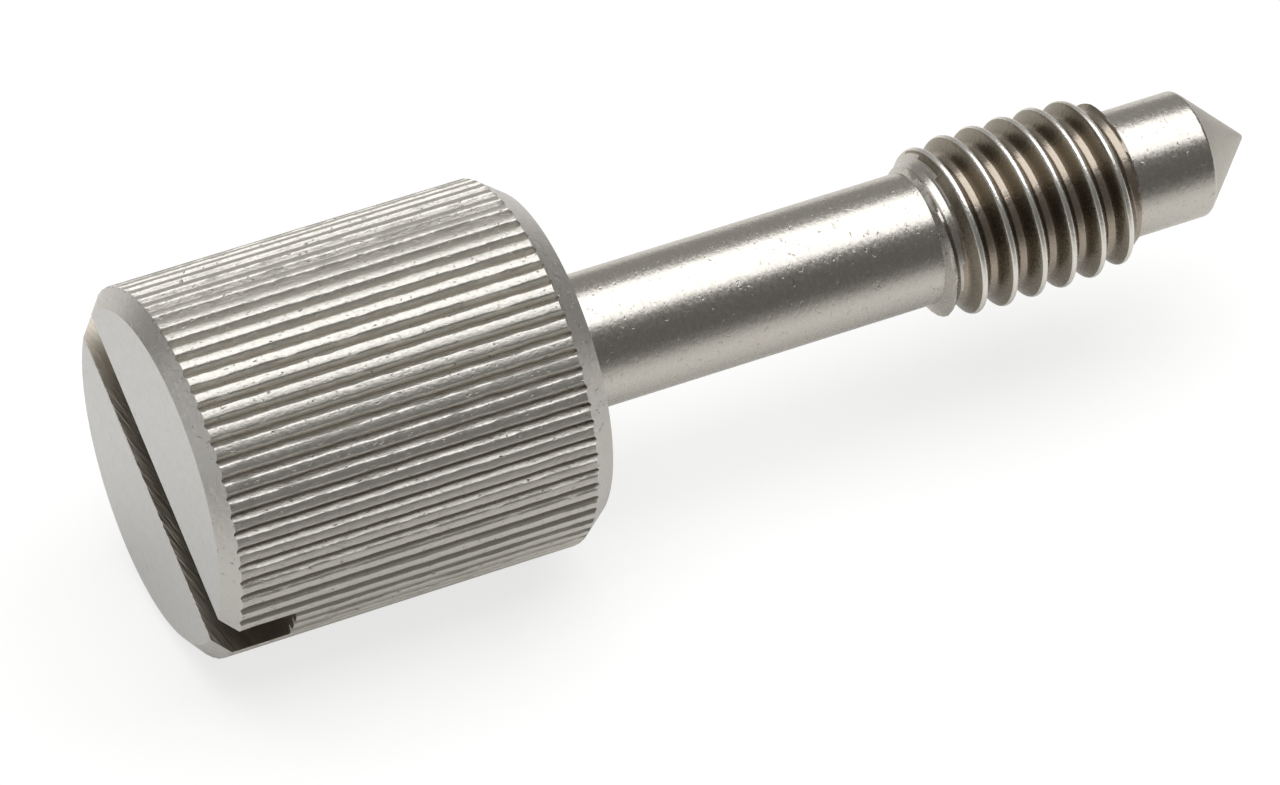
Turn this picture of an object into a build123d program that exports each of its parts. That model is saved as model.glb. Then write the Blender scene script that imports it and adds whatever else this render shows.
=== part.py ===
from build123d import *
import math
import os

# Thumb screw turned from one bar: a straight-knurled head with a screwdriver slot,
# a plain neck, a short rolled thread and a plain pilot with a cone point.
# The axis runs along +X from head to point, +Z is up as the screw lies on its head,
# and the origin is on the axis in the plane of the bearing face under the head.

# Head
head_diameter = 8.0
head_length = 8.82
front_face_diameter = 7.2
front_chamfer_length = 0.33
bearing_face_diameter = 7.16
rear_chamfer_length = 0.55

# Straight knurl round the head
ridge_count = 64
lowest_point_angle = -90.0
ridge_phase_share = 0.97
groove_depth = 0.15
land_share = 0.5

# Screwdriver slot across the front face
slot_width = 1.1
slot_depth = 1.6
slot_angle = 26.8

# Neck between the head and the thread
neck_diameter = 2.9
neck_length = 8.73
neck_fillet_radius = 0.2

# Rolled thread, crowned so that its crests are lower towards both ends
thread_diameter = 3.88
thread_pitch = 0.7
thread_length = 4.72
crest_share = 0.125
root_share = 0.25
flank_half_angle = 30.0
crown_drop = 0.28
ramp_angle = 60.0
thread_turn_angle = 159.9

# Pilot and cone point
pilot_diameter = 2.8
pilot_length = 1.78
cone_half_angle = 45.0
tip_radius = 0.1

# Extra reach of each shape that cuts or trims another
overrun = 0.5

head_radius = head_diameter / 2
front_radius = front_face_diameter / 2
bearing_radius = bearing_face_diameter / 2
neck_radius = neck_diameter / 2
crest_radius = thread_diameter / 2
pilot_radius = pilot_diameter / 2

thread_end = neck_length + thread_length
pilot_end = thread_end + pilot_length

# Half of the turned outline, from the front face to the tip, is spun about the axis.
# The cone runs tangent into the small round tip.
cone_angle = math.radians(cone_half_angle)
tangent_radius = tip_radius * math.cos(cone_angle)
tangent_x = pilot_end + (pilot_radius - tangent_radius) / math.tan(cone_angle)
tip_centre_x = tangent_x - tip_radius * math.sin(cone_angle)
tip_x = tip_centre_x + tip_radius

head_outline = Polyline(
    (-head_length, 0),
    (-head_length, front_radius),
    (front_chamfer_length - head_length, head_radius),
    (-rear_chamfer_length, head_radius),
    (0, bearing_radius),
    (0, neck_radius + neck_fillet_radius),
)
neck_fillet = RadiusArc(
    (0, neck_radius + neck_fillet_radius),
    (neck_fillet_radius, neck_radius),
    neck_fillet_radius,
)
neck_line = Polyline(
    (neck_fillet_radius, neck_radius),
    (neck_length, neck_radius),
    (neck_length, 0),
    (-head_length, 0),
)
turned_outline = Plane.XZ * make_face(head_outline + neck_fillet + neck_line)
headed_neck = revolve(turned_outline, axis=Axis.X)

# One V groove is drawn at the rim and repeated round the head. The first one is nearly
# half a pitch past the lowest point, so that the head lies on the flat land of one ridge.
ridge_pitch = math.pi * head_diameter / ridge_count
groove_width = ridge_pitch * (1 - land_share)
outer_half_width = groove_width / 2 * (groove_depth + overrun) / groove_depth
groove_outline = Polygon(
    (-groove_depth, 0),
    (overrun, -outer_half_width),
    (overrun, outer_half_width),
    align=None,
)
half_pitch_angle = math.degrees(math.pi / ridge_count)
first_groove_angle = lowest_point_angle + ridge_phase_share * half_pitch_angle
groove_places = PolarLocations(head_radius, ridge_count, start_angle=first_groove_angle)
groove_sketch = Plane.YZ.offset(-head_length - overrun) * Sketch(
    [place * groove_outline for place in groove_places]
)
grooves = extrude(groove_sketch, amount=head_length + 2 * overrun)
knurled = headed_neck - grooves

# The slot is milled straight across the front face.
slot = Box(2 * slot_depth, head_diameter + 2 * overrun, slot_width)
slotted = knurled - Pos(X=-head_length) * Rot(X=slot_angle) * slot

# The thread is one sharp ridge swept along a helix on a core, longer than needed,
# then trimmed by a steep ramp at each end and by the crowned outline of its crests.
flank_slope = math.tan(math.radians(flank_half_angle))
ridge_peak_radius = crest_radius + crest_share * thread_pitch / 2 / flank_slope
root_radius = ridge_peak_radius - (1 - root_share) * thread_pitch / 2 / flank_slope
foot_half_width = (1 - root_share / 2) * thread_pitch / 2
foot_radius = ridge_peak_radius - foot_half_width / flank_slope
helix_length = thread_length + 2 * thread_pitch
core_length = helix_length + 2 * thread_pitch
helix = Helix(thread_pitch, helix_length, root_radius)
ridge_outline = Plane.XZ * Polygon(
    (foot_radius, -foot_half_width),
    (ridge_peak_radius, 0),
    (foot_radius, foot_half_width),
    align=None,
)
ridge = sweep(ridge_outline, path=helix, is_frenet=True)
core = Cylinder(root_radius, core_length, align=(Align.CENTER, Align.CENTER, Align.MIN))
thread_plane = Plane((neck_length - thread_pitch, 0, 0), x_dir=(0, 1, 0), z_dir=(1, 0, 0))
thread_turn = Rot(Z=thread_turn_angle)
long_thread = thread_plane * thread_turn * (Pos(Z=-thread_pitch) * core + ridge)

ramp_slope = math.tan(math.radians(ramp_angle))
ramp_top_radius = ridge_peak_radius + overrun
neck_ramp_length = (ramp_top_radius - neck_radius) / ramp_slope
pilot_ramp_length = (ramp_top_radius - pilot_radius) / ramp_slope
ramp_outline = Polyline(
    (neck_length, 0),
    (neck_length, neck_radius),
    (neck_length + neck_ramp_length, ramp_top_radius),
    (thread_end - pilot_ramp_length, ramp_top_radius),
    (thread_end, pilot_radius),
    (thread_end, 0),
    close=True,
)
ramped_envelope = revolve(Plane.XZ * make_face(ramp_outline), axis=Axis.X)

crown_start = neck_length - overrun
crown_end = thread_end + overrun
crown_end_radius = crest_radius - crown_drop
crown_arc = ThreePointArc(
    (crown_start, crown_end_radius),
    ((crown_start + crown_end) / 2, crest_radius),
    (crown_end, crown_end_radius),
)
crown_base = Polyline(
    (crown_end, crown_end_radius),
    (crown_end, 0),
    (crown_start, 0),
    (crown_start, crown_end_radius),
)
crowned_envelope = revolve(Plane.XZ * make_face(crown_arc + crown_base), axis=Axis.X)
thread = long_thread & ramped_envelope & crowned_envelope

# The pilot and its cone point are spun in the same way.
pilot_line = Polyline(
    (thread_end, 0),
    (thread_end, pilot_radius),
    (pilot_end, pilot_radius),
    (tangent_x, tangent_radius),
)
tip_arc = RadiusArc((tangent_x, tangent_radius), (tip_x, 0), tip_radius)
pilot_axis_line = Line((tip_x, 0), (thread_end, 0))
pilot_outline = Plane.XZ * make_face(pilot_line + tip_arc + pilot_axis_line)
pilot = revolve(pilot_outline, axis=Axis.X)

thumb_screw = slotted + thread + pilot
thumb_screw.label = "thumb_screw"

os.makedirs("parts", exist_ok=True)
export_step(thumb_screw, "parts/thumb_screw.step")

box = thumb_screw.bounding_box()
print("solids", len(thumb_screw.solids()))
print("volume", thumb_screw.volume)
print("box", box.min, box.max)
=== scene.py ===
# %% [markdown]
# The object is a thumb screw: one piece of stainless steel bar, turned, knurled,
# slotted and thread-rolled. It lies on its knurled head with the point in the air.
# The CAD part is loaded first, and its box is kept.

# %% Load the CAD part and keep its box
import math

import bmesh
import bpy
from mathutils import Matrix, Vector, noise


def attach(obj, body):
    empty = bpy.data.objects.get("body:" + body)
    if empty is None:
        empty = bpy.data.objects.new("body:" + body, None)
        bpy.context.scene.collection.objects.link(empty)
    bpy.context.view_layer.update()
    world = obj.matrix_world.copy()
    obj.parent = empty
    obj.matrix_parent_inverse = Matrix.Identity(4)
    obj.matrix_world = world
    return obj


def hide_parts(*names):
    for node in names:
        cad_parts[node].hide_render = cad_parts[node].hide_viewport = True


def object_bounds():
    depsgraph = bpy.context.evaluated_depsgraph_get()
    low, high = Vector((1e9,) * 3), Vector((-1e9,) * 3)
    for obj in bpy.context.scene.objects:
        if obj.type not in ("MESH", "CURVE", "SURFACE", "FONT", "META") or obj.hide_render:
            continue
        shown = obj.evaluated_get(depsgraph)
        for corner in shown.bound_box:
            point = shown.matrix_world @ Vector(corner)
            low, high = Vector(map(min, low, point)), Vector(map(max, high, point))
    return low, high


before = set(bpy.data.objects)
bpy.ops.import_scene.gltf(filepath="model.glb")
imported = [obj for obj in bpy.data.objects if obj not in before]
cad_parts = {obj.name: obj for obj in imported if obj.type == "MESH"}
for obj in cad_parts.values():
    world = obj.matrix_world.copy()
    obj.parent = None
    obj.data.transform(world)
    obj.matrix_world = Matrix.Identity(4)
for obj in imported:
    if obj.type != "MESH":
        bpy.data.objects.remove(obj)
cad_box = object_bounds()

MM = 0.001
print("CAD box in mm:", [[round(v / MM, 3) for v in corner] for corner in cad_box])

# %% [markdown]
# All sizes are the real ones in millimetres, the same as the part's source. Blender counts
# in metres, so each one is multiplied by MM. The axis runs along X from the head to the
# point, with X = 0 in the bearing face under the head. The row of capital names after the
# sizes numbers the finishes that the faces will carry.

# %% Sizes of the screw
HEAD_RADIUS = 4.0 * MM
HEAD_FRONT = -8.82 * MM
FRONT_RADIUS = 3.6 * MM
FRONT_CHAMFER = 0.33 * MM
BEARING_RADIUS = 3.58 * MM
REAR_CHAMFER = 0.55 * MM

RIDGES = 64
GROOVE_DEPTH = 0.15 * MM
LAND_SHARE = 0.5

SLOT_HALF_WIDTH = 0.55 * MM
SLOT_DEPTH = 1.6 * MM
SLOT_ANGLE = math.radians(26.8)

NECK_RADIUS = 1.45 * MM
NECK_FILLET = 0.2 * MM
THREAD_START = 8.73 * MM
THREAD_END = 13.45 * MM
PITCH = 0.7 * MM
CREST_RADIUS = 1.94 * MM
ROOT_RADIUS = 1.561 * MM
CREST_AT = 11.224 * MM
PILOT_RADIUS = 1.4 * MM
PILOT_END = 15.23 * MM
TIP_RADIUS = 0.1 * MM

FACED, KNURLED, MILLED, TURNED, ROLLED, POINT, CHAMFERED, CREST = range(8)


def on_axis(x, radius, angle):
    """A point at this radius, turned by angle about +X from straight up."""
    return Vector((x, -radius * math.sin(angle), radius * math.cos(angle)))


def radius_of(point):
    return math.hypot(point.y, point.z)


def set_radius(vert, radius):
    now = radius_of(vert.co)
    vert.co.y *= radius / now
    vert.co.z *= radius / now


print("head in mm:", round(2 * HEAD_RADIUS / MM, 2), "across,", round(-HEAD_FRONT / MM, 2), "long")

# %% [markdown]
# The knurl is what the fingers turn: straight ridges with flat lands and V grooves. A bump
# on a plain cylinder would be quicker, but the outline would stay smooth, so the ridges
# are true form. One ridge is drawn as four points and pulled along the head, and spin
# repeats it round the axis. Its ends follow the two chamfer cones.

# %% Draw one ridge and spin it round the head
def front_cone_x(radius):
    return HEAD_FRONT + FRONT_CHAMFER * (radius - FRONT_RADIUS) / (HEAD_RADIUS - FRONT_RADIUS)


def rear_cone_x(radius):
    return -REAR_CHAMFER * (radius - BEARING_RADIUS) / (HEAD_RADIUS - BEARING_RADIUS)


RIDGE_MERGE = 0.001 * MM

ridge_turn = 2 * math.pi / RIDGES
land_turn = ridge_turn * LAND_SHARE
groove_radius = HEAD_RADIUS - GROOVE_DEPTH
head = bmesh.new()
ridge_points = []
for radius, angle in (
    (groove_radius, -ridge_turn / 2),
    (HEAD_RADIUS, -land_turn / 2),
    (HEAD_RADIUS, land_turn / 2),
    (groove_radius, ridge_turn / 2),
):
    ridge_points.append(head.verts.new(on_axis(front_cone_x(radius), radius, angle)))
ridge_edges = [head.edges.new(pair) for pair in zip(ridge_points, ridge_points[1:])]
pulled = bmesh.ops.extrude_edge_only(head, edges=ridge_edges)["geom"]
for vert in [g for g in pulled if isinstance(g, bmesh.types.BMVert)]:
    vert.co.x = rear_cone_x(radius_of(vert.co))
bmesh.ops.spin(
    head, geom=head.verts[:] + head.edges[:] + head.faces[:], cent=(0, 0, 0), axis=(1, 0, 0),
    angle=2 * math.pi - ridge_turn, steps=RIDGES - 1, use_duplicate=True,
)
bmesh.ops.remove_doubles(head, verts=head.verts[:], dist=RIDGE_MERGE)
bmesh.ops.recalc_face_normals(head, faces=head.faces[:])
print("ridges:", RIDGES, "faces:", len(head.faces))

# %% [markdown]
# A knurl has no razor edges, so every long edge gets a small round. A bevel modifier would
# do that too, but here the ridges still have to be cut into short lengths afterwards.
# They are shaken a little, never outwards, because a real knurl wanders by a few
# hundredths of a millimetre and its edges glint unevenly. The grooves grow shallow at
# both ends, so that the rims are nearly round.

# %% Round the ridges and make them a little uneven
RIDGE_ROUND = 0.030 * MM
RIDGE_CUTS = 59
WANDER_ALONG = 0.30 * MM
WANDER_ROUND = 0.12 * MM
WANDER_IN = 0.010 * MM
WANDER_SIDE = 0.016 * MM
LAND_BAND = 0.02 * MM
RIM_DEPTH_SHARE = 0.3
OTHER_NOISE = Vector((31.0, 7.0, 3.0))

long_edges = [e for e in head.edges if not e.is_boundary]
bmesh.ops.bevel(
    head, geom=long_edges, offset=RIDGE_ROUND, offset_type="OFFSET", affect="EDGES",
    segments=2, profile=0.5, material=-1,
)
long_edges = [e for e in head.edges if abs((e.verts[0].co - e.verts[1].co).x) > HEAD_RADIUS]
bmesh.ops.subdivide_edges(head, edges=long_edges, cuts=RIDGE_CUTS, use_grid_fill=True)
for vert in head.verts:
    spot = Vector((vert.co.x / WANDER_ALONG, vert.co.y / WANDER_ROUND, vert.co.z / WANDER_ROUND))
    in_groove = radius_of(vert.co) < HEAD_RADIUS - LAND_BAND
    inward = WANDER_IN * (0.5 + 0.5 * noise.noise(spot)) if in_groove else 0
    sideways = WANDER_SIDE * noise.noise(spot + OTHER_NOISE)
    set_radius(vert, radius_of(vert.co) - inward)
    if vert.is_boundary:
        cone_x = front_cone_x if vert.co.x < HEAD_FRONT / 2 else rear_cone_x
        set_radius(vert, HEAD_RADIUS - RIM_DEPTH_SHARE * (HEAD_RADIUS - radius_of(vert.co)))
        vert.co.x = cone_x(radius_of(vert.co))
    vert.co.rotate(Matrix.Rotation(sideways / HEAD_RADIUS, 3, "X"))
for face in head.faces:
    face.material_index = KNURLED
print("knurl faces:", len(head.faces))

# %% [markdown]
# The two chamfers are the open ends of the knurl pulled to round rims. A boolean cut would
# leave thin slivers there, and pulling leaves one clean strip. The front rim is filled
# with one flat face, and the rear rim stays open until the neck is joined to it.

# %% Pull the chamfers and fill the front face
def pull_rim(is_front, x, radius):
    rim = [
        e for e in head.edges
        if e.is_boundary and (e.verts[0].co.x < HEAD_FRONT / 2) == is_front
    ]
    made = bmesh.ops.extrude_edge_only(head, edges=rim)["geom"]
    for vert in [g for g in made if isinstance(g, bmesh.types.BMVert)]:
        vert.co.x = x
        set_radius(vert, radius)
    for face in [g for g in made if isinstance(g, bmesh.types.BMFace)]:
        face.material_index = CHAMFERED
    return [g for g in made if isinstance(g, bmesh.types.BMEdge) and g.is_boundary]


front_rim = pull_rim(True, HEAD_FRONT, FRONT_RADIUS)
pull_rim(False, 0, BEARING_RADIUS)
front_face = bmesh.ops.contextual_create(head, geom=front_rim)["faces"]
for face in front_face:
    face.material_index = FACED
print("front face corners:", [len(f.verts) for f in front_face])

# %% [markdown]
# The screwdriver slot is milled straight across. Three flat cuts mark its floor and its
# two walls, the faces between them are deleted, and the walls and the floor are filled.
# A boolean with a box would also do, but after flat cuts it is known where every edge
# lies, and the slot's lips can be picked by their place.

# %% Mill the slot
slot_across = Vector((0, -math.sin(SLOT_ANGLE), math.cos(SLOT_ANGLE)))
floor_x = HEAD_FRONT + SLOT_DEPTH
NEAR = 0.0005 * MM


def cut(faces, point, normal):
    verts = {v for f in faces for v in f.verts}
    edges = {e for f in faces for e in f.edges}
    bmesh.ops.bisect_plane(
        head, geom=list(verts) + list(edges) + list(faces), dist=NEAR,
        plane_co=point, plane_no=normal,
    )


cut(head.faces[:], (floor_x, 0, 0), (1, 0, 0))
for side in (1, -1):
    ahead = [f for f in head.faces if f.calc_center_median().x < floor_x]
    cut(ahead, slot_across * (side * SLOT_HALF_WIDTH), slot_across)
milled_away = []
for face in head.faces:
    middle = face.calc_center_median()
    if middle.x < floor_x and abs(middle.dot(slot_across)) < SLOT_HALF_WIDTH:
        milled_away.append(face)
bmesh.ops.delete(head, geom=milled_away, context="FACES")


def on_wall(vert, side):
    return abs(vert.co.dot(slot_across) - side * SLOT_HALF_WIDTH) < 2 * NEAR


def on_floor(vert):
    return abs(vert.co.x - floor_x) < 2 * NEAR


open_edges = [e for e in head.edges if e.is_boundary and e.verts[0].co.x < floor_x + NEAR]
floor_edges = [e for e in open_edges if all(on_floor(v) for v in e.verts)]
for side in (1, -1):
    wall_edges = [e for e in open_edges if all(on_wall(v, side) for v in e.verts)]
    ends = {v for e in wall_edges for v in e.verts if on_floor(v)}
    foot = head.edges.new(list(ends))
    floor_edges.append(foot)
    for face in bmesh.ops.contextual_create(head, geom=wall_edges + [foot])["faces"]:
        face.material_index = MILLED
for face in bmesh.ops.contextual_create(head, geom=floor_edges)["faces"]:
    face.material_index = MILLED
bmesh.ops.recalc_face_normals(head, faces=head.faces[:])
print("open edges left on the head:", sum(e.is_boundary for e in head.edges))

# %% [markdown]
# A real cut edge catches the light as a thin line. A perfectly sharp one has no area and
# can't reflect a lamp, so the slot's front edges get a very small bevel.

# %% Break the slot's sharp edges
LIP_BEVEL = 0.025 * MM


def is_slot_lip(edge):
    finishes = {f.material_index for f in edge.link_faces}
    flat = all(abs(v.co.x - HEAD_FRONT) < NEAR for v in edge.verts)
    return flat and finishes == {FACED, MILLED}


lips = [e for e in head.edges if is_slot_lip(e)]
bmesh.ops.bevel(
    head, geom=lips, offset=LIP_BEVEL, offset_type="OFFSET", affect="EDGES",
    segments=2, profile=0.5, material=-1,
)
print("bevelled slot lips:", len(lips))

# %% [markdown]
# The thread is rolled: a hard die presses the groove and the metal rises to the crests.
# One tooth outline is spun along a helix, which is what a screw thread is, and its
# crest and root edges are rounded as the die rounds them. A screw modifier gives the same
# helix, but with spin the mesh can be trimmed and joined straight away.

# %% Spin the thread along its helix
TURN_STEPS = 128
TURNS = 10
FIRST_TURN = -5
TURN_MERGE = 0.002 * MM
ROUNDED_ANGLE = math.radians(20)
THREAD_ROUND = 0.035 * MM
CREST_BAND = 0.025 * MM

thread = bmesh.new()
outline = []
for pitch_share, height_share in (
    (-0.5, 0), (-0.375, 0), (-0.297, 0.25), (-0.219, 0.5), (-0.141, 0.75), (-0.0625, 1), (0, 1),
    (0.0625, 1), (0.141, 0.75), (0.219, 0.5), (0.297, 0.25), (0.375, 0), (0.5, 0),
):
    x = CREST_AT + (FIRST_TURN + pitch_share) * PITCH
    radius = ROOT_RADIUS + height_share * (CREST_RADIUS - ROOT_RADIUS)
    outline.append(thread.verts.new((x, radius, 0)))
outline_edges = [thread.edges.new(pair) for pair in zip(outline, outline[1:])]
bmesh.ops.spin(
    thread, geom=outline + outline_edges, cent=(0, 0, 0), axis=(1, 0, 0),
    dvec=(PITCH / TURN_STEPS, 0, 0), angle=2 * math.pi * TURNS, steps=TURN_STEPS * TURNS,
)
bmesh.ops.remove_doubles(thread, verts=thread.verts[:], dist=TURN_MERGE)
bmesh.ops.recalc_face_normals(thread, faces=thread.faces[:])
inner = [e for e in thread.edges if not e.is_boundary]
sharp = [e for e in inner if e.calc_face_angle(0) > ROUNDED_ANGLE]
bmesh.ops.bevel(
    thread, geom=sharp, offset=THREAD_ROUND, offset_type="OFFSET", affect="EDGES",
    segments=3, profile=0.5, material=-1,
)
for face in thread.faces:
    is_crest = radius_of(face.calc_center_median()) > CREST_RADIUS - CREST_BAND
    face.material_index = CREST if is_crest else ROLLED
print("thread faces:", len(thread.faces), "rounded edges:", len(sharp))

# %% [markdown]
# The die leaves the first and last crests lower, and the turned blank ends in a steep
# ramp to the neck and to the pilot. So the crests are scaled down towards both ends and
# held under the ramps, and the helix is cut off square a little way past the ramps.
# Moving the vertices is simpler than cutting the crests, and leaves no new edges.

# %% Fade the crests and trim the thread
RAMP_SLOPE = math.tan(math.radians(60))
FADE_LENGTH = 1.45 * MM
END_HEIGHT_SHARE = 0.48
PLAIN_START = 0.4 * MM
SPARE = 0.30 * MM
CUT_MERGE = 0.025 * MM


def crest_share(x):
    """How much of the full tooth height is left at this place along the thread."""
    near_end = min(x - THREAD_START, THREAD_END - x)
    rise = max(0.0, min(1.0, near_end / FADE_LENGTH))
    return END_HEIGHT_SHARE + (1 - END_HEIGHT_SHARE) * rise * (2 - rise)


def slice_thread(x, direction, clear):
    bmesh.ops.bisect_plane(
        thread, geom=thread.verts[:] + thread.edges[:] + thread.faces[:], dist=NEAR,
        plane_co=(x, 0, 0), plane_no=(direction, 0, 0), clear_outer=clear,
    )


for vert in thread.verts:
    tooth = radius_of(vert.co) - ROOT_RADIUS
    set_radius(vert, ROOT_RADIUS + tooth * crest_share(vert.co.x))
slice_thread(THREAD_START, -1, False)
slice_thread(THREAD_END, 1, False)
for vert in thread.verts:
    neck_ramp = NECK_RADIUS + max(0, vert.co.x - THREAD_START) * RAMP_SLOPE
    pilot_ramp = PILOT_RADIUS + max(0, THREAD_END - vert.co.x) * RAMP_SLOPE
    set_radius(vert, min(radius_of(vert.co), neck_ramp, pilot_ramp))
slice_thread(THREAD_START - SPARE, -1, True)
slice_thread(THREAD_END + SPARE, 1, True)
cut_verts = [v for v in thread.verts if v.is_boundary]
bmesh.ops.remove_doubles(thread, verts=cut_verts, dist=CUT_MERGE)
for face in thread.faces:
    if not THREAD_START + PLAIN_START < face.calc_center_median().x < THREAD_END:
        face.material_index = TURNED
open_ends = [e for e in thread.edges if e.is_boundary]
print("thread ends:", sorted({round(v.co.x / MM, 2) for e in open_ends for v in e.verts}))

# %% [markdown]
# The neck and the pilot are plain turned lengths, so they are pulled from the two round
# ends of the thread: back to the fillet under the head, and on to the cone and its tip.
# A separate cylinder pushed into the thread would leave a seam, and a pulled ring doesn't.

# %% Tools for the plain lengths
def pull_ring(ring, stations, finish):
    """Extrudes a ring of edges through a list of (x, radius) and gives the last ring."""
    for x, radius in stations:
        made = bmesh.ops.extrude_edge_only(thread, edges=ring)["geom"]
        for vert in [g for g in made if isinstance(g, bmesh.types.BMVert)]:
            vert.co.x = x
            set_radius(vert, radius)
        for face in [g for g in made if isinstance(g, bmesh.types.BMFace)]:
            face.material_index = finish
        ring = [g for g in made if isinstance(g, bmesh.types.BMEdge) and g.is_boundary]
    return ring


def clean_ring(ragged, x, radius):
    """Bridges the cut end of the thread to an even circle and gives the circle's edges."""
    turn = Matrix.Translation((x, 0, 0)) @ Matrix.Rotation(math.pi / 2, 4, "Y")
    circle = bmesh.ops.create_circle(thread, segments=TURN_STEPS, radius=radius, matrix=turn)
    ring = list({e for v in circle["verts"] for e in v.link_edges})
    for face in bmesh.ops.bridge_loops(thread, edges=ragged + ring)["faces"]:
        face.material_index = TURNED
    return ring


print("open edges to bridge:", len(open_ends))

# %% [markdown]
# The neck ends in a quarter-round fillet. The pilot's edge is broken by a small round,
# then a 90 degree cone runs to a very small round tip. Each ring is one station of the
# turned outline, as on a lathe drawing, so the sizes can be read off the list.

# %% Pull the neck, the pilot and the point
RING_OFFSET = 1.2 * SPARE
FILLET_STEPS = 6
CONE_HALF_ANGLE = math.radians(45)
CONE_ROUND = 0.12 * MM
CONE_ROUND_BACK = 0.05 * MM
CONE_ROUND_STEPS = 3
TIP_STEPS = 5

neck_cut = [e for e in open_ends if e.verts[0].co.x < (THREAD_START + THREAD_END) / 2]
pilot_cut = [e for e in open_ends if e not in neck_cut]
neck_ring = clean_ring(neck_cut, THREAD_START - RING_OFFSET, NECK_RADIUS)
pilot_ring = clean_ring(pilot_cut, THREAD_END + RING_OFFSET, PILOT_RADIUS)
fillet = []
for step in range(FILLET_STEPS + 1):
    turn = step / FILLET_STEPS * math.pi / 2
    fillet.append((
        NECK_FILLET * (1 - math.sin(turn)),
        NECK_RADIUS + NECK_FILLET * (1 - math.cos(turn)),
    ))
neck_ring = pull_ring(neck_ring, fillet, TURNED)

tangent_radius = TIP_RADIUS * math.cos(CONE_HALF_ANGLE)
tangent_x = PILOT_END + PILOT_RADIUS - tangent_radius
tip_centre = tangent_x - TIP_RADIUS * math.sin(CONE_HALF_ANGLE)
edge_stations = [(PILOT_END - CONE_ROUND_BACK, PILOT_RADIUS)]
for step in range(1, CONE_ROUND_STEPS + 1):
    turn = step / CONE_ROUND_STEPS * CONE_HALF_ANGLE
    edge_stations.append((
        PILOT_END - CONE_ROUND_BACK + CONE_ROUND * math.sin(turn),
        PILOT_RADIUS - CONE_ROUND * (1 - math.cos(turn)),
    ))
point_stations = []
for step in range(TIP_STEPS):
    turn = CONE_HALF_ANGLE + step / TIP_STEPS * (math.pi / 2 - CONE_HALF_ANGLE)
    point_stations.append((tip_centre + TIP_RADIUS * math.sin(turn), TIP_RADIUS * math.cos(turn)))
pilot_ring = pull_ring(pilot_ring, edge_stations, TURNED)
pilot_ring = pull_ring(pilot_ring, point_stations, POINT)
tip = bmesh.ops.contextual_create(thread, geom=pilot_ring)["faces"]
centre = bmesh.ops.poke(thread, faces=tip)["verts"]
for vert in centre:
    vert.co = (tip_centre + TIP_RADIUS, 0, 0)
for face in {f for v in centre for f in v.link_faces}:
    face.material_index = POINT
print("neck and pilot pulled, tip at", round((tip_centre + TIP_RADIUS) / MM, 3), "mm")

# %% [markdown]
# Head and neck are one bar, so the head's mesh is added to the thread's and the two open
# rings in the bearing plane are bridged. A boolean union could join them too, but a bridge
# adds only the faces that are needed, and the result is one closed mesh. Edges over the
# sharp angle stay crisp, and weighted normals keep the flat lands looking flat.

# %% Join head and neck into one closed body
SHARP_ANGLE = math.radians(35)

head_mesh = bpy.data.meshes.new("head_only")
head.to_mesh(head_mesh)
head.free()
thread.from_mesh(head_mesh)
bpy.data.meshes.remove(head_mesh)
gap = [e for e in thread.edges if e.is_boundary]
bearing = bmesh.ops.bridge_loops(thread, edges=gap)["faces"]
for face in bearing:
    face.material_index = FACED
bmesh.ops.recalc_face_normals(thread, faces=thread.faces[:])
for edge in thread.edges:
    edge.smooth = edge.calc_face_angle(0) < SHARP_ANGLE
for face in thread.faces:
    face.smooth = True
open_count = sum(not e.is_manifold for e in thread.edges)
print("edges not shared by two faces:", open_count, "faces:", len(thread.faces))
body_mesh = bpy.data.meshes.new("thumb_screw_body")
thread.to_mesh(body_mesh)
thread.free()
body = bpy.data.objects.new("thumb_screw_body", body_mesh)
bpy.context.scene.collection.objects.link(body)
flat_lands = body.modifiers.new("flat lands, round edges", "WEIGHTED_NORMAL")
flat_lands.keep_sharp = True

# %% [markdown]
# The steel is one material with eight finishes, because each tool leaves its own marks;
# some finishes also carry painted shade and painted highlights in their colours.
# Colours are hex values as seen on screen, turned to linear light by one function.

# %% Helpers for materials
def linear(hex_colour):
    values = []
    for start in (0, 2, 4):
        v = int(hex_colour[start:start + 2], 16) / 255
        values.append(v / 12.92 if v <= 0.04045 else ((v + 0.055) / 1.055) ** 2.4)
    return (*values, 1.0)


def add(tree, kind, settings=None, links=None):
    """Adds a node, sets its properties and input values, and links its inputs."""
    node = tree.nodes.new(kind)
    for name, value in (settings or {}).items():
        if isinstance(name, int) or name in node.inputs:
            node.inputs[name].default_value = value
        else:
            setattr(node, name, value)
    for name, source in (links or {}).items():
        tree.links.new(source, node.inputs[name])
    return node


def new_material(name):
    material = bpy.data.materials.new(name)
    material.use_nodes = True
    tree = material.node_tree
    tree.nodes.clear()
    output = add(tree, "ShaderNodeOutputMaterial")
    place = add(tree, "ShaderNodeTexCoord").outputs["Object"]
    return material, tree, output, place


print("middle grey in linear light:", round(linear("808080")[0], 3))

# %% [markdown]
# Each finish is stainless steel with its own roughness and marks: a fine grain and small
# pits on turned parts, a deeper grain on the knurl, slanted streaks in the slot. Image
# textures could carry the marks, but noise needs no files and has no seams. The grain
# sizes are real millimetres, drawn no finer than the picture can show.

# %% One function for every steel finish
ROUGH_SPREAD = 0.15
PIT_DEPTH = 2.0


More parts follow.
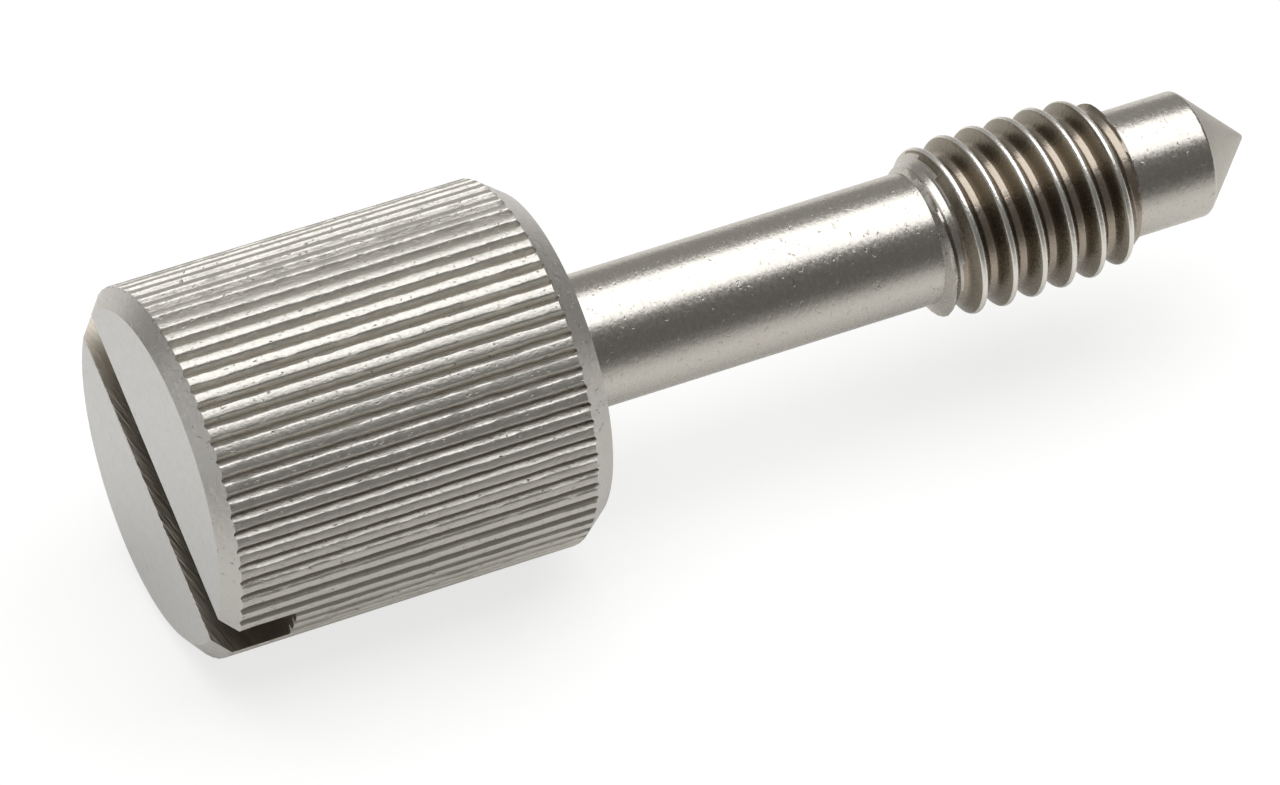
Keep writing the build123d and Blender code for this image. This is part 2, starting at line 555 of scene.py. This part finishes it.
def steel(name, colour, roughness, grain_mm, mark_mm, turn=(0, 0, 0), speck=None, painted_light_rings=None):
    """Steel whose marks have the size grain_mm along X, Y and Z and the depth mark_mm.
    Specks are small dark pits. Rings give a colour at each distance from the axis: painted shade
    and painted highlights."""
    material, tree, output, place = new_material(name)
    turned = add(tree, "ShaderNodeMapping", {"Rotation": turn}, {"Vector": place})
    scale = [1 / (g * MM) for g in grain_mm]
    mapped = add(tree, "ShaderNodeMapping", {"Scale": scale},
                 {"Vector": turned.outputs["Vector"]})
    grain = add(tree, "ShaderNodeTexNoise", {"Scale": 1.0, "Detail": 1.5, "Roughness": 0.6},
                {"Vector": mapped.outputs["Vector"]}).outputs["Fac"]
    height = grain
    rough = add(tree, "ShaderNodeMapRange",
                {"From Min": 0.3, "From Max": 0.7,
                 "To Min": roughness * (1 - ROUGH_SPREAD),
                 "To Max": roughness * (1 + ROUGH_SPREAD)},
                {"Value": grain})
    shader = add(tree, "ShaderNodeBsdfPrincipled", {"Metallic": 1.0, "Base Color": linear(colour)},
                 {"Roughness": rough.outputs["Result"]})
    painted_light_and_specks = None
    # The rings paint light and shade by radius: painted shade in the knurl's grooves and on the
    # thread's flanks, a painted highlight in the thread's roots.
    if painted_light_rings:
        inner_mm = painted_light_rings[0][0]
        outer_mm = painted_light_rings[-1][0]
        flat = add(tree, "ShaderNodeVectorMath",
                   {"operation": "MULTIPLY", 1: (0, 1, 1)}, {0: place})
        radius = add(tree, "ShaderNodeVectorMath", {"operation": "LENGTH"},
                     {0: flat.outputs["Vector"]})
        share = add(tree, "ShaderNodeMapRange",
                    {"From Min": inner_mm * MM, "From Max": outer_mm * MM},
                    {"Value": radius.outputs["Value"]})
        ramp = add(tree, "ShaderNodeValToRGB", None, {"Fac": share.outputs["Result"]})
        for ring_mm, _ in painted_light_rings[1:-1]:
            ramp.color_ramp.elements.new((ring_mm - inner_mm) / (outer_mm - inner_mm))
        for element, (_, painted_ring_colour) in zip(ramp.color_ramp.elements, painted_light_rings):
            element.color = linear(painted_ring_colour)
        painted_light_and_specks = ramp.outputs["Color"]
    if speck:
        spots = add(tree, "ShaderNodeTexNoise", {"Scale": 0.8, "Detail": 2.0, "Distortion": 0.6},
                    {"Vector": mapped.outputs["Vector"]})
        amount = add(tree, "ShaderNodeMapRange", {"From Min": 0.65, "From Max": 0.82},
                     {"Value": spots.outputs["Fac"]})
        height = add(tree, "ShaderNodeMath", {"operation": "MULTIPLY_ADD", 1: -PIT_DEPTH},
                     {0: amount.outputs["Result"], 2: grain}).outputs[0]
        spotted = add(tree, "ShaderNodeMix",
                      {"data_type": "RGBA", 6: linear(colour), 7: linear(speck)},
                      {0: amount.outputs["Result"]})
        if painted_light_and_specks:
            tree.links.new(painted_light_and_specks, spotted.inputs[6])
        painted_light_and_specks = spotted.outputs[2]
    if painted_light_and_specks:
        tree.links.new(painted_light_and_specks, shader.inputs["Base Color"])
    bump = add(tree, "ShaderNodeBump", {"Distance": mark_mm * MM}, {"Height": height})
    tree.links.new(bump.outputs["Normal"], shader.inputs["Normal"])
    tree.links.new(shader.outputs["BSDF"], output.inputs["Surface"])
    return material


print("finishes to make:", CREST + 1)

# %% [markdown]
# The eight finishes stand in the order of the numbers that the faces carry. The body
# then takes the place of the CAD solid and rides on its only body.

# %% The eight finishes on the body
finishes = [
    # Faced: a flat, even grey with hardly a mark, on the front face and the bearing face.
    steel("stainless steel, faced", "c6c7c7", 0.36, (0.12, 0.12, 0.12), 0.0005, speck="b4b1ac"),
    # Knurled: the dullest finish, grainy lands that glitter, and grooves between them darkened by
    # painted shade.
    steel("stainless steel, knurled, painted groove shade", "c8c6c0", 0.46, (0.09, 0.06, 0.06), 0.0085, speck="7a7368",
          painted_light_rings=((3.86, "b3ada3"), (3.95, "c8c6c0"))),
    # Milled: streaks across the slot's walls, where the cutter went through, on a darker colour
    # that is painted shade in the slot.
    steel("stainless steel, milled slot, painted shade", "a9a399", 0.38, (0.06, 0.6, 0.6), 0.010,
          turn=(0, 0.6, 0)),
    # Turned: the smoothest length, a bright band along the neck and the pilot with small dents.
    steel("stainless steel, turned", "c2bfb9", 0.27, (0.08, 0.12, 0.12), 0.0045, speck="a9a49b"),
    # Rolled: brownish flanks darkened by painted shade and lighter roots with a painted highlight,
    # which set off the crests.
    steel("stainless steel, rolled thread, painted shade and highlight", "c5c1b9", 0.28, (0.10, 0.10, 0.10), 0.0050,
          painted_light_rings=((1.561, "a0968a"), (1.66, "7c7468"), (1.94, "918a7e"))),
    # Turned point: a matt even grey on the cone.
    steel("stainless steel, turned point", "bcb9b3", 0.42, (0.08, 0.08, 0.08), 0.0030),
    # Chamfered: faint patches of light and dark on the head's two cones.
    steel("stainless steel, chamfered", "c0bebb", 0.32, (0.16, 0.10, 0.10), 0.0070,
          speck="a19b92"),
    # Rolled crest: the narrow top of each turn, lightened by a painted highlight, whose grain
    # sparkles.
    steel("stainless steel, rolled crest, painted highlight", "e3e1dc", 0.32, (0.07, 0.07, 0.07), 0.0060),
]
for material in finishes:
    body.data.materials.append(material)
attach(body, "root")
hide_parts("thumb_screw")
print("finishes:", [m.name for m in finishes])

# %% [markdown]
# The screw lies on white card. To the camera the card is nearly white and keeps the
# shadow. A plain white plane would be mirrored too brightly, so to the metal the card
# gets darker towards the front: painted shade, which only the metal shows.

# %% Floor
CARD_HALF_SIZE = 0.25
DIM_FROM = -0.022
DIM_TO = -0.006
DIM_SHARE = 0.28

floor_mesh = bpy.data.meshes.new("card")
card = bmesh.new()
bmesh.ops.create_grid(card, x_segments=1, y_segments=1, size=CARD_HALF_SIZE)
bmesh.ops.translate(card, verts=card.verts[:], vec=(0, 0, cad_box[0][2]))
card.to_mesh(floor_mesh)
card.free()
floor = bpy.data.objects.new("floor", floor_mesh)
bpy.context.scene.collection.objects.link(floor)
card_white, tree, output, place = new_material("white card")
ray = add(tree, "ShaderNodeLightPath")
is_camera = ray.outputs["Is Camera Ray"]
seen = add(tree, "ShaderNodeMath", {"operation": "ADD"},
           {0: is_camera, 1: ray.outputs["Is Glossy Ray"]})
seen = add(tree, "ShaderNodeMath", {"operation": "ADD"},
           {0: seen.outputs[0], 1: ray.outputs["Is Transmission Ray"]})
across = add(tree, "ShaderNodeSeparateXYZ", None, {"Vector": place})
# Painted shade: for the metal's rays the card's colour falls to DIM_SHARE towards the front.
painted_front_shade = add(tree, "ShaderNodeMapRange",
           {"From Min": DIM_FROM, "From Max": DIM_TO, "To Min": DIM_SHARE},
           {"Value": across.outputs["Y"]}).outputs["Result"]


def card_colour(to_metal, to_camera):
    """A colour for the metal's rays, with painted shade towards the front, and one for the
    camera's.
    """
    dimmed = add(tree, "ShaderNodeMix",
                 {"data_type": "RGBA", 6: (0, 0, 0, 1), 7: linear(to_metal)}, {0: painted_front_shade})
    chosen = add(tree, "ShaderNodeMix", {"data_type": "RGBA", 7: linear(to_camera)},
                 {0: is_camera, 6: dimmed.outputs[2]})
    return chosen.outputs[2]


paper = add(tree, "ShaderNodeBsdfDiffuse", None, {"Color": card_colour("e2e0dc", "9a9a9a")})
glow = add(tree, "ShaderNodeEmission", None,
           {"Color": card_colour("808080", "dfdfdf"), "Strength": seen.outputs[0]})
both = add(tree, "ShaderNodeAddShader", None,
           {0: paper.outputs["BSDF"], 1: glow.outputs["Emission"]})
tree.links.new(both.outputs["Shader"], output.inputs["Surface"])
floor.data.materials.append(card_white)
print("floor at", round(cad_box[0][2] / MM, 3), "mm")

# %% [markdown]
# One wide soft light hangs above the screw, and a low, dimmer one stands at its left. A
# small lamp would give thin hard glints. A wide one in a dim room gives bare metal its
# broad bright band with a dark band on each side.

# %% Lamps
def softbox(name, place, aim, width, height, radiance):
    """A rectangular lamp whose face shines with this radiance, where 1 is white."""
    data = bpy.data.lights.new(name, "AREA")
    data.shape = "RECTANGLE"
    data.size = width
    data.size_y = height
    data.energy = radiance * math.pi * width * height
    lamp = bpy.data.objects.new(name, data)
    turn = (Vector(aim) - Vector(place)).to_track_quat("-Z", "Y")
    lamp.matrix_world = Matrix.Translation(place) @ turn.to_matrix().to_4x4()
    bpy.context.scene.collection.objects.link(lamp)


softbox("overhead softbox", place=(0.08, 0.03, 0.30), aim=(0.08, 0.03, 0.0),
        width=0.50, height=0.36, radiance=2.1)
softbox("left card", place=(-0.30, 0.03, 0.055), aim=(0.0, 0.0, 0.0),
        width=0.30, height=0.10, radiance=0.6)
print("lamps:", sorted(light.name for light in bpy.data.lights))

# %% [markdown]
# The room has no walls. Its tone only changes with the direction, darker in front and
# lighter behind. A picture of a room could be wrapped round instead, but in steel as matt
# as this two tones are enough.

# %% Room
world = bpy.data.worlds.new("dim room")
world.use_nodes = True
bpy.context.scene.world = world
room = world.node_tree
room.nodes.clear()
way = add(room, "ShaderNodeTexCoord").outputs["Generated"]
split = add(room, "ShaderNodeSeparateXYZ", None, {"Vector": way})
back = add(room, "ShaderNodeMapRange", {"From Min": 0.0, "From Max": 1.0},
           {"Value": split.outputs["Y"]})
tone = add(room, "ShaderNodeMix",
           {"data_type": "RGBA", 6: linear("716f6b"), 7: linear("a9a7a3")},
           {0: back.outputs["Result"]})
air = add(room, "ShaderNodeBackground", {"Strength": 1.0}, {"Color": tone.outputs[2]})
add(room, "ShaderNodeOutputWorld", None, {"Surface": air.outputs["Background"]})
print("room:", world.name)

# %% [markdown]
# The camera stands where the photograph was taken from: a long lens, about 42 degrees
# above the table, with no tilt to either side.

# %% Camera
camera_data = bpy.data.cameras.new("camera")
camera_data.sensor_width = 36.0
camera_data.lens = 253.1
camera_data.clip_start = 0.01
camera = bpy.data.objects.new("camera", camera_data)
right = Vector((0.90309, -0.42945, 0.0))
forward = Vector((0.32161, 0.67631, -0.66270)).normalized()
right = (right - right.dot(forward) * forward).normalized()
up = right.cross(forward)
stand = Vector((-58.66, -128.22, 123.73)) * MM
turn = Matrix((right, up, -forward)).transposed().to_4x4()
camera.matrix_world = Matrix.Translation(stand) @ turn
bpy.context.scene.collection.objects.link(camera)
bpy.context.scene.camera = camera
bpy.context.scene.view_settings.view_transform = "Standard"
print("camera looks down", round(math.degrees(math.asin(-forward.z)), 1), "degrees")
